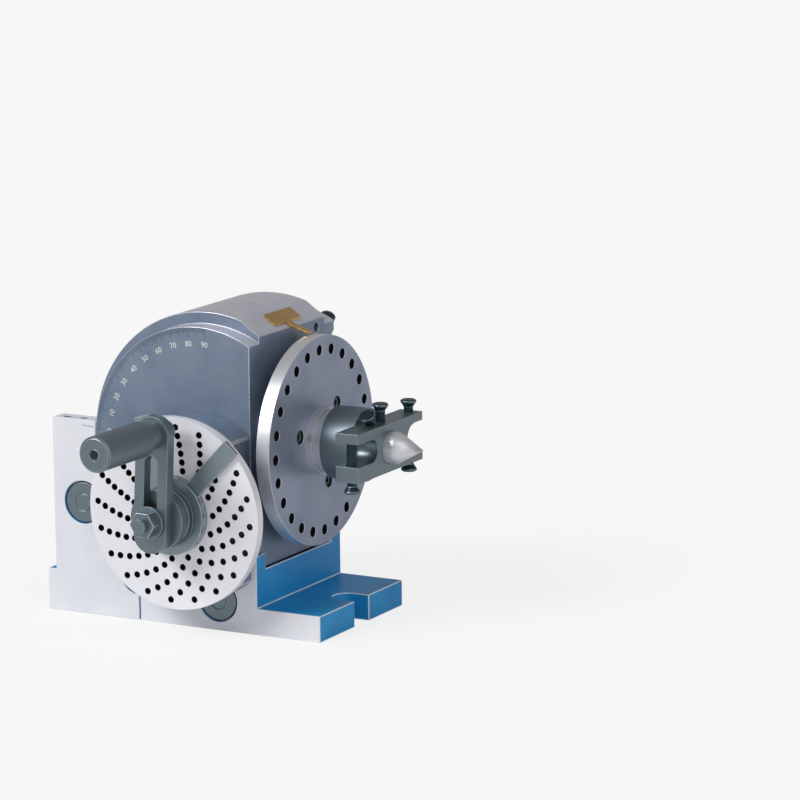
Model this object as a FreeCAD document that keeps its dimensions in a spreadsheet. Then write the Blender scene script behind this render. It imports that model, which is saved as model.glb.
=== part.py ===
"""Semi-universal dividing head with its index crank, direct index plate, centre and driver.

Frame: millimetres, +Z up, the spindle's nose points along +X and the index crank is on -Y.
The origin is on the table, straight below the crossing of the spindle and swivel axes.
"""
import FreeCAD, Part
import math
import os
import re
import Sketcher
from FreeCAD import Placement, Rotation, Vector

doc = FreeCAD.newDocument("dividing_head")

# ---------------------------------------------------------------- driving dimensions

DIMENSIONS = dict(
    # base casting
    base_left=99, base_right=73.4, base_width=92.5, foot_height=14.5, ledge_height=23.3,
    upright_left=93.9, upright_height=109, wall_right=34.5, wall_thick=10.5, wall_height=34.7,
    cheek_thick=10.5, pit_floor=11.5, bolt_slot_width=16, bolt_slot_length=17, keyway_depth=3,
    edge_chamfer=1,
    # swivel clamp bolts
    clamp_circle=84, clamp_first_angle=206.5, clamp_step_angle=35.15, clamp_disc_radius=11,
    clamp_recess_radius=12, clamp_disc_thick=4, clamp_shank_radius=5, clamp_boss_radius=4.5,
    # swivelling head housing
    spindle_height=100, trunnion_radius=66, drum_radius=72.5, drum_width=71, nose_flat=32.2,
    pad_start=21, pad_drop=161.5, fit=0.05, gap=0.25, oil_hole_radius=2.6,
    # worm and wheel
    worm_drop=30.8, worm_module=1.25, wheel_teeth=40, wheel_width=13, worm_length=26,
    worm_thread_thin=0.5, worm_journal_radius=7.5, worm_tail_radius=5, worm_tail_end=31,
    # spindle
    spindle_rear=74, rear_face=57, cover_thick=6, cover_radius=36, chamber_radius=30,
    wheel_seat_radius=14, front_journal_radius=16, rear_journal_radius=12.5,
    flange_radius=29.5, flange_back=33, plate_back=42.1, plate_face=50.1, plate_radius=57.5,
    register_radius=18.5, ring_radius=17.5, nose_thread_radius=15, nose_shoulder=59.5,
    nose_end=77, drawbar_radius=6.5, taper_large_radius=8.89, taper_small_radius=7.27,
    taper_length=64,
    # direct index plate
    direct_holes=24, direct_circle=49.9, direct_hole_radius=2.9, direct_phase=16.9,
    plate_screw_circle=24.5, plate_screw_phase=46,
    # direct index plunger
    plunger_angle=46.9, plunger_radius=4.5, plunger_tip_radius=2.75, plunger_travel=8,
    plunger_knob_reach=81, plunger_knob_place=24,
    # index plate and worm housing
    housing_flange_radius=38, housing_flange_front=66, plate_seat_radius=24,
    index_plate_back=68.5, index_plate_front=74, index_plate_radius=52.5, spigot_radius=12.5,
    spigot_front=84, ring_outer=47.4, ring_pitch=4.55, index_hole_radius=1.8,
    index_phase=123, sleeve_end=23,
    # sector arms
    sector_hub_radius=21.5, sector_reach=55, sector_width=9.5, sector_plate=2.6,
    trailing_angle=46.5, leading_angle=106,
    # crank and index pin
    crank_back=91, crank_thick=6.5, crank_angle=87, crank_end_radius=10, crank_tail=7,
    crank_slot_radius=4.1, crank_slot_reach=32, stud_radius=4, stud_end=109,
    pin_travel=10.5, pin_tip_radius=1.7, pin_shank_radius=3.5, sleeve_radius=7.6,
    handle_radius=9.6, handle_front=153.5,
    # driver and centre
    driver_hub_radius=20, driver_back=78.6, driver_front=92.4, driver_half_length=36.2,
    driver_half_height=13.3, near_slot_radius=6.25, near_slot_depth=22, far_slot_radius=8.5,
    far_slot_depth=17.4, centre_radius=8.8, centre_cone_start=97, centre_tip=112.4,
    tail_screw_radius=2.6, tail_screw_head=4.4,
)

sheet = doc.addObject("Spreadsheet::Sheet", "dims")
for row, (alias, value) in enumerate(DIMENSIONS.items(), start=1):
    sheet.set(f"A{row}", alias)
    sheet.set(f"B{row}", str(value))
    sheet.setAlias(f"B{row}", alias)
doc.recompute()


def bound(expression):
    """The expression with each dimension's name pointed at the spreadsheet."""
    return re.sub(r"\b([a-z]+_[a-z_]*[a-z]|fit|gap)\b", r"dims.\1", str(expression))


def size(expression):
    """The expression's present value, as a number."""
    return float(sheet.evalExpression(bound(expression)))


# ---------------------------------------------------------------- modelling helpers

PLANES = {"XY": "XY_Plane", "XZ": "XZ_Plane", "YZ": "YZ_Plane"}


def new_body(label):
    body = doc.addObject("PartDesign::Body", label)
    body.Label = label
    body.AllowCompound = True
    return body


def new_sketch(body, name, plane, offset="0"):
    """A sketch on one of the body's own origin planes, moved along that plane's normal."""
    sketch = body.newObject("Sketcher::SketchObject", name)
    support = next(item for item in body.Origin.OriginFeatures if item.Role == PLANES[plane])
    sketch.AttachmentSupport = [(support, "")]
    sketch.MapMode = "FlatFace"
    if offset != "0":
        sketch.setExpression("AttachmentOffset.Base.z", bound(offset))
    return sketch


def pin_point(sketch, geometry, point, across, up):
    """Holds a sketch point at two distances from the sketch's origin."""
    for kind, axis, expression in (("DistanceX", -2, across), ("DistanceY", -1, up)):
        if expression == "0":
            sketch.addConstraint(Sketcher.Constraint("PointOnObject", geometry, point, axis))
            continue
        index = sketch.addConstraint(
            Sketcher.Constraint(kind, -1, 1, geometry, point, size(expression)))
        sketch.setExpression(f"Constraints[{index}]", bound(expression))


def draw_outline(sketch, corners):
    """A closed outline of straight lines through corners given as expressions."""
    places = [Vector(size(across), size(up), 0) for across, up in corners]
    first = sketch.GeometryCount
    count = len(corners)
    for index in range(count):
        sketch.addGeometry(Part.LineSegment(places[index], places[(index + 1) % count]))
    for index in range(count):
        following = first + (index + 1) % count
        sketch.addConstraint(
            Sketcher.Constraint("Coincident", first + index, 2, following, 1))
    for index, (across, up) in enumerate(corners):
        pin_point(sketch, first + index, 1, across, up)


def draw_circle(sketch, across, up, radius):
    centre = Vector(size(across), size(up), 0)
    index = sketch.addGeometry(Part.Circle(centre, Vector(0, 0, 1), size(radius)))
    pin_point(sketch, index, 3, across, up)
    held = sketch.addConstraint(Sketcher.Constraint("Radius", index, size(radius)))
    sketch.setExpression(f"Constraints[{held}]", bound(radius))


def draw_slot(sketch, start, end, radius):
    """A round-ended slot between two centres given as pairs of expressions."""
    first, last = (Vector(size(point[0]), size(point[1]), 0) for point in (start, end))
    reach = size(radius)
    along = (last - first).normalize()
    side = Vector(-along.y, along.x, 0) * reach
    lines = [sketch.addGeometry(Part.LineSegment(first - side, last - side)),
             sketch.addGeometry(Part.LineSegment(last + side, first + side))]
    turn = math.atan2(along.y, along.x)
    arcs = []
    for centre, begin in ((last, turn - math.pi / 2), (first, turn + math.pi / 2)):
        circle = Part.Circle(centre, Vector(0, 0, 1), reach)
        arcs.append(sketch.addGeometry(Part.ArcOfCircle(circle, begin, begin + math.pi)))
    for line, arc in ((lines[0], arcs[0]), (lines[1], arcs[1])):
        sketch.addConstraint(Sketcher.Constraint("Tangent", line, 2, arc, 1))
    for line, arc in ((lines[1], arcs[0]), (lines[0], arcs[1])):
        sketch.addConstraint(Sketcher.Constraint("Tangent", line, 1, arc, 2))
    pin_point(sketch, arcs[0], 3, *end)
    pin_point(sketch, arcs[1], 3, *start)
    held = sketch.addConstraint(Sketcher.Constraint("Radius", arcs[0], reach))
    sketch.setExpression(f"Constraints[{held}]", bound(radius))


def pad(body, sketch, length, midplane=False, reverse=False):
    feature = body.newObject("PartDesign::Pad", sketch.Name + "_pad")
    feature.Profile = sketch
    feature.setExpression("Length", bound(length))
    feature.Midplane = midplane
    feature.Reversed = reverse
    return feature


def pocket(body, sketch, length="", midplane=False, reverse=False):
    """Cuts to a length, or through everything where no length is given."""
    feature = body.newObject("PartDesign::Pocket", sketch.Name + "_cut")
    feature.Profile = sketch
    feature.Midplane = midplane
    feature.Reversed = reverse
    if length:
        feature.setExpression("Length", bound(length))
    else:
        feature.Type = "ThroughAll"
    doc.recompute()
    before = feature.BaseFeature.Shape.Volume
    if not feature.Shape.Volume < before - 1e-3:
        raise RuntimeError(f"{feature.Name} cuts nothing")
    return feature


def revolve(body, sketch, cut=False):
    """Turns a profile about the sketch's horizontal axis."""
    kind = "PartDesign::Groove" if cut else "PartDesign::Revolution"
    feature = body.newObject(kind, sketch.Name + "_turn")
    feature.Profile = sketch
    feature.ReferenceAxis = (sketch, ["H_Axis"])
    feature.Angle = 360
    return feature


def around(body, feature, plane_axis, count):
    """Repeats a feature evenly round one of the body's own axes."""
    pattern = body.newObject("PartDesign::PolarPattern", feature.Name + "_ring")
    pattern.Originals = [feature]
    axis = next(item for item in body.Origin.OriginFeatures if item.Role == plane_axis)
    pattern.Axis = (axis, [""])
    pattern.Angle = 360
    pattern.setExpression("Occurrences", bound(count))
    body.Tip = pattern
    return pattern


TURNS = {"along_x": Rotation(),
         "along_y": Rotation(Vector(0, 0, 1), 90),
         "along_z": Rotation(Vector(0, 1, 0), -90)}


def place(item, across="0", back="0", up="0", turn="along_x"):
    """Puts a part where its expressions say; its own X axis is turned as named."""
    rotation = TURNS[turn] if isinstance(turn, str) else turn
    item.Placement = Placement(Vector(size(across), size(back), size(up)), rotation)
    for letter, expression in (("x", across), ("y", back), ("z", up)):
        if expression != "0":
            item.setExpression(f"Placement.Base.{letter}", bound(expression))
    return item


def turned(label, profile, across="0", back="0", up="0", turn="along_x"):
    """A part turned about its own X axis from (distance along, radius) corners."""
    body = new_body(label)
    sketch = new_sketch(body, label + "_profile", "XY")
    draw_outline(sketch, profile)
    revolve(body, sketch)
    return place(body, across, back, up, turn)


def tube(label, start, end, outer, inner, **where):
    profile = [(start, inner), (end, inner), (end, outer), (start, outer)]
    return turned(label, profile, **where)


def group(label, members):
    """Identical small pieces that share one node, each still its own solid."""
    compound = doc.addObject("Part::Compound", label)
    compound.Label = label
    compound.Links = members
    return compound


def on_circle(radius, degrees):
    """Expressions for a point on a circle about the origin."""
    return f"({radius})*cos({degrees})", f"({radius})*sin({degrees})"


def socket_screw(label, head_radius, head_height, shank_radius, shank_length, **where):
    """A cap screw along its own X axis: the head's bearing face is at zero, shank towards -X."""
    body = new_body(label)
    profile = new_sketch(body, label + "_profile", "XY")
    draw_outline(profile, [
        (f"-({shank_length})", "0"), (head_height, "0"), (head_height, head_radius),
        ("0", head_radius), ("0", shank_radius), (f"-({shank_length})", shank_radius)])
    revolve(body, profile)
    socket = new_sketch(body, label + "_socket", "YZ", head_height)
    flat = f"({head_radius})*0.5"
    corners = [on_circle(flat, 60 * step) for step in range(6)]
    draw_outline(socket, [(f"{across}", f"{up}+0.0001") for across, up in corners])
    pocket(body, socket, f"({head_height})*0.55")
    return place(body, **where)


# ---------------------------------------------------------------- base

def clamp_centres():
    """The three clamp bolts' centres, as (x, z) expressions in the row frame."""
    for index in range(3):
        across, up = on_circle("clamp_circle", f"clamp_first_angle+{index}*clamp_step_angle")
        yield across, f"spindle_height+{up}"


def build_base():
    """The cradle: two bored cheeks on a foot that is slotted at both ends."""
    body = new_body("base")
    side = new_sketch(body, "base_side", "XZ")
    draw_outline(side, [
        ("-base_left", "0"), ("base_right", "0"), ("base_right", "foot_height"),
        ("wall_right", "foot_height"), ("wall_right", "upright_height"),
        ("-upright_left", "upright_height"), ("-upright_left", "ledge_height"),
        ("-base_left", "ledge_height")])
    pad(body, side, "base_width", midplane=True)

    pit = new_sketch(body, "base_pit", "XZ")
    draw_outline(pit, [
        ("-base_left-1", "pit_floor"), ("wall_right-wall_thick", "pit_floor"),
        ("wall_right-wall_thick", "wall_height"), ("wall_right+1", "wall_height"),
        ("wall_right+1", "upright_height+1"), ("-base_left-1", "upright_height+1")])
    pocket(body, pit, "base_width-2*cheek_thick", midplane=True)

    bore = new_sketch(body, "base_bore", "XZ")
    draw_circle(bore, "0", "spindle_height", "trunnion_radius+gap")
    pocket(body, bore, "base_width+2", midplane=True)

    relief = new_sketch(body, "base_drum_relief", "XZ")
    draw_circle(relief, "0", "spindle_height", "drum_radius+0.8")
    pocket(body, relief, "base_width-2*cheek_thick", midplane=True)

    for name, inner, outer in (
            ("right", "base_right-bolt_slot_length+bolt_slot_width/2", "base_right+20"),
            ("left", "-base_left+bolt_slot_length-bolt_slot_width/2", "-base_left-20")):
        slot = new_sketch(body, f"base_{name}_slot", "XY")
        ends = sorted(((inner, "0"), (outer, "0")), key=lambda end: size(end[0]))
        draw_slot(slot, ends[0], ends[1], "bolt_slot_width/2")
        pocket(body, slot, reverse=True)

    keyway = new_sketch(body, "base_keyway", "YZ")
    draw_outline(keyway, [
        ("-bolt_slot_width/2", "-1"), ("bolt_slot_width/2", "-1"),
        ("bolt_slot_width/2", "keyway_depth"), ("-bolt_slot_width/2", "keyway_depth")])
    pocket(body, keyway, "2*(base_left+base_right)", midplane=True)

    shanks = new_sketch(body, "base_clamp_holes", "XZ")
    for across, up in clamp_centres():
        draw_circle(shanks, across, up, "clamp_shank_radius+gap")
    pocket(body, shanks, "base_width+2", midplane=True)
    for name, offset, flip in (("front", "base_width/2", False), ("rear", "-base_width/2", True)):
        recess = new_sketch(body, f"base_{name}_recess", "XZ", offset)
        for across, up in clamp_centres():
            draw_circle(recess, across, up, "clamp_recess_radius")
        pocket(body, recess, "clamp_disc_thick", reverse=flip)

    across, up = list(clamp_centres())[1]
    slit = new_sketch(body, "base_slit", "XZ", "base_width/2")
    draw_outline(slit, [(f"{across}-0.4", "-1"), (f"{across}+0.4", "-1"),
                        (f"{across}+0.4", f"{up}-clamp_recess_radius+1"),
                        (f"{across}-0.4", f"{up}-clamp_recess_radius+1")])
    pocket(body, slit, "clamp_disc_thick")

    tops = new_sketch(body, "base_top_holes", "XY", "upright_height")
    for across in ("-upright_left+7", "-upright_left+18"):
        draw_circle(tops, across, "-base_width/2+cheek_thick/2", "2.5")
    pocket(body, tops, "12")
    return body


def clamp_bolt(name, across, up):
    """A disc-headed bolt right through both cheeks, seated in the front recess."""
    front, rear = "-base_width/2", "base_width/2"
    seat = f"{front}+clamp_disc_thick"
    profile = [
        (f"{front}+0.3", "0"), (f"{front}+0.3", "clamp_boss_radius"),
        (f"{front}+1.3", "clamp_boss_radius"), (f"{front}+1.3", "clamp_boss_radius+0.8"),
        (f"{front}+0.6", "clamp_boss_radius+0.8"), (f"{front}+0.6", "clamp_disc_radius"),
        (seat, "clamp_disc_radius"), (seat, "clamp_shank_radius"),
        (f"{rear}+4", "clamp_shank_radius"), (f"{rear}+4", "0")]
    return turned(name, profile, across=across, up=up, turn="along_y")


def clamp_nut(name, across, up):
    """A hexagon nut in the rear recess, threaded on the bolt's end."""
    body = new_body(name)
    outline = new_sketch(body, name + "_outline", "YZ")
    draw_outline(outline, [on_circle("clamp_recess_radius-2", 60 * step + 0.001)
                           for step in range(6)])
    pad(body, outline, "7")
    hole = new_sketch(body, name + "_hole", "YZ")
    draw_circle(hole, "0", "0", "clamp_shank_radius")
    pocket(body, hole, "8", reverse=True)
    return place(body, across, "base_width/2-clamp_disc_thick", up, "along_y")


# ---------------------------------------------------------------- head

def plunger_place(radius="direct_circle"):
    return on_circle(radius, "plunger_angle")


def build_housing():
    """The drum that swivels in the cradle and carries the spindle, worm and plunger."""
    body = new_body("head_housing")
    drum = new_sketch(body, "drum", "XZ")
    draw_circle(drum, "0", "0", "drum_radius")
    pad(body, drum, "drum_width", midplane=True)
    trunnions = new_sketch(body, "trunnions", "XZ")
    draw_circle(trunnions, "0", "0", "trunnion_radius")
    pad(body, trunnions, "base_width", midplane=True)

    nose_cut = new_sketch(body, "nose_cut", "XZ")
    draw_outline(nose_cut, [
        ("nose_flat", "-drum_radius-1"), ("drum_radius+1", "-drum_radius-1"),
        ("drum_radius+1", "drum_radius+1"), ("pad_start", "drum_radius+1"),
        ("pad_start", "sqrt(drum_radius^2-pad_start^2)"),
        ("nose_flat", "pad_drop-spindle_height")])
    pocket(body, nose_cut, "base_width+2", midplane=True)

    chamber = new_sketch(body, "chamber", "XY")
    draw_outline(chamber, [
        ("-drum_radius-1", "0"), ("nose_flat+1", "0"),
        ("nose_flat+1", "front_journal_radius+4"), ("wheel_width/2+2", "front_journal_radius+4"),
        ("wheel_width/2+2", "chamber_radius"), ("-rear_face", "chamber_radius"),
        ("-rear_face", "cover_radius+0.5"), ("-drum_radius-1", "cover_radius+0.5")])
    revolve(body, chamber, cut=True)

    sleeve = new_sketch(body, "worm_sleeve_bore", "XZ", "base_width/2")
    draw_circle(sleeve, "0", "-worm_drop", "spigot_radius+1.5")
    pocket(body, sleeve, "base_width/2+worm_length/2+2")
    tail = new_sketch(body, "worm_tail_bore", "XZ")
    draw_circle(tail, "0", "-worm_drop", "worm_tail_radius+3")
    pocket(body, tail, "worm_tail_end+2")

    across, up = plunger_place()
    plunger = new_sketch(body, "plunger_bore", "YZ", "nose_flat")
    draw_circle(plunger, across, up, "plunger_radius+fit")
    pocket(body, plunger, "40")

    knob_slot = new_sketch(body, "knob_slot", "XY")
    knob_slot.AttachmentOffset = Placement(
        Vector(), Rotation(Vector(1, 0, 0), DIMENSIONS["plunger_angle"] - 90))
    draw_slot(knob_slot, ("plunger_knob_place", "0"), ("plunger_knob_place+plunger_travel", "0"),
              "2.3")
    pocket(body, knob_slot, "100", reverse=True)

    cover_taps = new_sketch(body, "cover_taps", "YZ", "-rear_face")
    for step in range(4):
        draw_circle(cover_taps, *on_circle("33", 45 + 90 * step), "1.6")
    pocket(body, cover_taps, "8", reverse=True)
    housing_taps = new_sketch(body, "housing_taps", "XZ", "base_width/2")
    for step in range(3):
        across, up = on_circle("28", 90 + 120 * step)
        draw_circle(housing_taps, f"({across})*(-1)", f"{up}-worm_drop", "2.1")
    pocket(body, housing_taps, "12")

    oil = new_sketch(body, "oil_hole", "YZ", "nose_flat")
    draw_circle(oil, "26.6", "56.6", "oil_hole_radius")
    pocket(body, oil, "9")
    return place(body, up="spindle_height")


def build_worm_housing():
    """The flanged sleeve on the drum's front that holds the worm shaft and the index plate."""
    front_face = "-base_width/2"
    flange_back = f"{front_face}-0.4"
    body = new_body("worm_housing")
    profile = new_sketch(body, "worm_housing_profile", "XY")
    draw_outline(profile, [
        ("-spigot_front", "worm_journal_radius+3"), ("-sleeve_end", "worm_journal_radius+3"),
        ("-sleeve_end", "spigot_radius+1.5"), (front_face, "spigot_radius+1.5"),
        (front_face, "30"), (flange_back, "30"), (flange_back, "housing_flange_radius"),
        ("-housing_flange_front", "housing_flange_radius"),
        ("-housing_flange_front", "plate_seat_radius"), ("-index_plate_back", "plate_seat_radius"),
        ("-index_plate_back", "spigot_radius"), ("-spigot_front", "spigot_radius")])
    revolve(body, profile)
    for name, circle, phase, start, radius, length in (
            ("worm_housing_heads", "28", 90, "housing_flange_front", "3.6", "4"),
            ("worm_housing_holes", "28", 90, "housing_flange_front", "2.1", "30"),
            ("worm_housing_taps", "18", 60, "index_plate_back", "1.7", "8")):
        holes = new_sketch(body, name, "YZ", f"-{start}")
        for step in range(3):
            draw_circle(holes, *on_circle(circle, phase + 120 * step), radius)
        pocket(body, holes, length, reverse=True)
    return place(body, up="spindle_height-worm_drop", turn="along_y")


def worm_line(label, profile):
    """A part turned about the worm's axis; distances along are row-frame Y."""
    return turned(label, profile, up="spindle_height-worm_drop", turn="along_y")


def worm_ring(label, start, end, outer, inner):
    return worm_line(label, [(start, inner), (end, inner), (end, outer), (start, outer)])


def spindle_line(label, profile):
    """A part turned about the spindle's axis; distances along are row-frame X."""
    return turned(label, profile, up="spindle_height")


def spindle_ring(label, start, end, outer, inner):
    return spindle_line(label, [(start, inner), (end, inner), (end, outer), (start, outer)])


def build_rear_cover():
    """The plug that closes the drum's rear bore and holds the rear bush."""
    body = new_body("rear_cover")
    profile = new_sketch(body, "rear_cover_profile", "XY")
    draw_outline(profile, [
        ("-rear_face-cover_thick", "16"), ("-34", "16"), ("-34", "chamber_radius"),
        ("-rear_face", "chamber_radius"), ("-rear_face", "cover_radius"),
        ("-rear_face-cover_thick", "cover_radius")])
    revolve(body, profile)
    holes = new_sketch(body, "rear_cover_holes", "YZ", "-rear_face")
    for step in range(4):
        draw_circle(holes, *on_circle("33", 45 + 90 * step), "1.6")
    pocket(body, holes, "cover_thick+1")
    return place(body, up="spindle_height")


def build_index_plate():
    """The drilled plate: six circles whose holes share one starting radius."""
    body = new_body("index_plate")
    disc = new_sketch(body, "index_disc", "XZ", "index_plate_back")
    draw_circle(disc, "0", "0", "index_plate_radius")
    draw_circle(disc, "0", "0", "spigot_radius")
    pad(body, disc, "index_plate_front-index_plate_back")
    for ring, count in enumerate(range(20, 14, -1)):
        hole = new_sketch(body, f"index_hole_{count}", "XZ", "index_plate_front")
        across, up = on_circle(f"ring_outer-{ring}*ring_pitch", "index_phase")
        draw_circle(hole, across, up, "index_hole_radius")
        around(body, pocket(body, hole, "6"), "Y_Axis", count)
    for name, radius, depth in (("index_screw_seats", "3.2", "2"), ("index_screw_holes", "1.7", "6")):
        seats = new_sketch(body, name, "XZ", "index_plate_front")
        for step in range(3):
            draw_circle(seats, *on_circle("18", 120 * step), radius)
        pocket(body, seats, depth)
    return place(body, up="spindle_height-worm_drop")


def sector_turn(degrees):
    """A turn about the worm's axis, measured from +X towards +Z."""
    return Rotation(Vector(0, -1, 0), degrees)


def build_sector_arm(label, back, front, outer_back, angle):
    """One sector arm: a hub ring with a straight arm that lies on the index plate."""
    body = new_body(label)
    hub = new_sketch(body, label + "_hub", "XZ", back)
    draw_circle(hub, "0", "0", "sector_hub_radius")
    pad(body, hub, f"{front}-({back})")
    arm = new_sketch(body, label + "_arm", "XZ", back)
    draw_outline(arm, [("10", "-sector_width/2"), ("sector_reach", "-sector_width/2"),
                       ("sector_reach", "sector_width/2"), ("10", "sector_width/2")])
    pad(body, arm, f"{front}-({back})")
    if outer_back != back:
        foot = new_sketch(body, label + "_foot", "XZ", outer_back)
        draw_outline(foot, [
            ("sector_hub_radius+1", "-sector_width/2"), ("sector_reach", "-sector_width/2"),
            ("sector_reach", "sector_width/2"), ("sector_hub_radius+1", "sector_width/2")])
        pad(body, foot, f"{front}-({outer_back})")
    bore = new_sketch(body, label + "_bore", "XZ", front)
    draw_circle(bore, "0", "0", "spigot_radius+fit")
    pocket(body, bore, "20")
    return place(body, up="spindle_height-worm_drop", turn=sector_turn(angle))


def pin_centre():
    """The index pin's place on the plate's outer circle, as (x, z) expressions."""
    across, up = on_circle("ring_outer", "crank_angle")
    return across, f"spindle_height-worm_drop+{up}"


def pin_line(label, profile):
    across, up = pin_centre()
    return turned(label, profile, across=across, up=up, turn="along_y")


def build_crank_arm():
    """The slotted crank arm, round-ended, from the worm shaft to the index pin."""
    body = new_body("crank_arm")
    plate = new_sketch(body, "crank_plate", "XZ", "crank_back")
    draw_slot(plate, ("-crank_tail", "0"), ("ring_outer", "0"), "crank_end_radius")
    pad(body, plate, "crank_thick")
    slot = new_sketch(body, "crank_slot", "XZ", "crank_back+crank_thick")
    draw_slot(slot, ("0", "0"), ("crank_slot_reach", "0"), "crank_slot_radius")
    pocket(body, slot, "crank_thick+1")
    socket = new_sketch(body, "crank_socket", "XZ", "crank_back+crank_thick")
    draw_circle(socket, "ring_outer", "0", "sleeve_radius-1.1")
    pocket(body, socket, "crank_thick+1")
    return place(body, up="spindle_height-worm_drop",
                 turn=sector_turn(DIMENSIONS["crank_angle"]))


def build_crank_nut():
    body = new_body("crank_nut")
    outline = new_sketch(body, "crank_nut_outline", "XZ", "crank_back+crank_thick+2")
    draw_outline(outline, [on_circle("7.5", 60 * step + 0.001) for step in range(6)])
    pad(body, outline, "6")
    hole = new_sketch(body, "crank_nut_hole", "XZ", "crank_back+crank_thick+8")
    draw_circle(hole, "0", "0", "stud_radius")
    pocket(body, hole, "7")
    return place(body, up="spindle_height-worm_drop")


def build_worm_shaft():
    """The worm shaft: rear journal, worm, front journal, collar and crank stud in one."""
    core = "worm_module*4.64-worm_module*1.25-0.1"
    body = new_body("worm_shaft")
    profile = new_sketch(body, "worm_shaft_profile", "XY")
    draw_outline(profile, [
        ("-stud_end", "0"), ("-stud_end", "stud_radius"), ("-crank_back", "stud_radius"),
        ("-crank_back", "16"), ("-spigot_front-0.5", "16"),
        ("-spigot_front-0.5", "worm_journal_radius"), ("-sleeve_end+4", "worm_journal_radius"),
        ("-sleeve_end+4", core), ("worm_length/2+2", core),
        ("worm_length/2+2", "worm_tail_radius"), ("worm_tail_end", "worm_tail_radius"),
        ("worm_tail_end", "0")])
    revolve(body, profile)
    thread = new_sketch(body, "worm_thread", "XY")
    middle = "-3.25*3.14159265*worm_module"
    half_root = "worm_module*1.25-worm_thread_thin/2"
    half_tip = "worm_module*0.42-worm_thread_thin/2"
    root, tip = f"{core}-0.2", "worm_module*4.64+worm_module*0.9"
    draw_outline(thread, [
        (f"{middle}-({half_root})", root), (f"{middle}+({half_root})", root),
        (f"{middle}+({half_tip})", tip), (f"{middle}-({half_tip})", tip)])
    helix = body.newObject("PartDesign::AdditiveHelix", "worm_helix")
    helix.Profile = thread
    helix.ReferenceAxis = (thread, ["H_Axis"])
    helix.Mode = 0
    helix.setExpression("Pitch", bound("3.14159265*worm_module"))
    helix.setExpression("Height", bound("6.5*3.14159265*worm_module"))
    helix.LeftHanded = False
    body.Tip = helix
    return place(body, up="spindle_height-worm_drop", turn="along_y")


def build_worm_wheel():
    """The forty-tooth wheel, its gaps slanted to the worm's lead."""
    body = new_body("worm_wheel")
    blank = new_sketch(body, "wheel_blank", "YZ")
    tip = "worm_module*(wheel_teeth/2+0.9)"
    draw_circle(blank, "0", "0", tip)
    draw_circle(blank, "0", "0", "wheel_seat_radius")
    pad(body, blank, "wheel_width", midplane=True)
    pitch_radius = "worm_module*wheel_teeth/2"
    root = f"{pitch_radius}-worm_module*1.25"
    gap_slope = math.tan(math.radians(24))
    half = "worm_module*0.785398"
    lead = math.degrees(math.atan(1 / (2 * 4.64)))
    gap_sketch = new_sketch(body, "wheel_gap", "YZ")
    gap_sketch.AttachmentOffset = Placement(Vector(), Rotation(Vector(0, 1, 0), lead))
    half_root = f"{half}-worm_module*1.25*{gap_slope:.5f}"
    half_top = f"{half}+worm_module*1.2*{gap_slope:.5f}"
    top = f"{pitch_radius}+worm_module*1.2"
    draw_outline(gap_sketch, [
        (f"-({half_root})", f"-({root})"), (f"-({half_top})", f"-({top})"),
        (half_top, f"-({top})"), (half_root, f"-({root})")])
    around(body, pocket(body, gap_sketch, "wheel_width+8", midplane=True), "X_Axis", "wheel_teeth")
    return place(body, up="spindle_height")


def build_spindle():
    """The hollow spindle: tapered bore, flange for the direct plate, register and nose."""
    body = new_body("spindle")
    profile = new_sketch(body, "spindle_profile", "XY")
    draw_outline(profile, [
        ("-spindle_rear", "drawbar_radius"), ("nose_end-taper_length", "drawbar_radius"),
        ("nose_end-taper_length", "taper_small_radius"), ("nose_end", "taper_large_radius"),
        ("nose_end", "nose_thread_radius"), ("nose_shoulder-0.5", "nose_thread_radius"),
        ("nose_shoulder-0.5", "ring_radius"), ("plate_face+4.7", "ring_radius"),
        ("plate_face+4.7", "ring_radius-1"), ("plate_face+3.9", "ring_radius-1"),
        ("plate_face+3.9", "register_radius"), ("plate_back", "register_radius"),
        ("plate_back", "flange_radius"), ("flange_back", "flange_radius"),
        ("flange_back", "front_journal_radius"), ("wheel_width/2", "front_journal_radius"),
        ("wheel_width/2", "wheel_seat_radius"), ("-wheel_width/2-9", "wheel_seat_radius"),
        ("-wheel_width/2-9", "rear_journal_radius"), ("-rear_face-4", "rear_journal_radius"),
        ("-rear_face-4", "rear_journal_radius-1"), ("-spindle_rear", "rear_journal_radius-1")])
    revolve(body, profile)
    taps = new_sketch(body, "spindle_taps", "YZ", "plate_back")
    for step in range(3):
        draw_circle(taps, *on_circle("plate_screw_circle", f"plate_screw_phase+{120 * step}"), "2")
    pocket(body, taps, "7")
    return place(body, up="spindle_height")


def build_direct_plate():
    """The direct index plate: a rim of large holes and three sunk screws."""
    body = new_body("direct_index_plate")
    disc = new_sketch(body, "direct_disc", "YZ", "plate_back")
    draw_circle(disc, "0", "0", "plate_radius")
    draw_circle(disc, "0", "0", "register_radius")
    pad(body, disc, "plate_face-plate_back")
    hole = new_sketch(body, "direct_hole", "YZ", "plate_face")
    draw_circle(hole, *on_circle("direct_circle", "direct_phase"), "direct_hole_radius")
    around(body, pocket(body, hole, "plate_face-plate_back+1"), "X_Axis", "direct_holes")
    for name, radius, depth in (("direct_screw_seats", "3.9", "4.5"),
                                ("direct_screw_holes", "2", "9")):
        seats = new_sketch(body, name, "YZ", "plate_face")
        for step in range(3):
            centre = on_circle("plate_screw_circle", f"plate_screw_phase+{120 * step}")
            draw_circle(seats, *centre, radius)
        pocket(body, seats, depth)
    return place(body, up="spindle_height")


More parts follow.
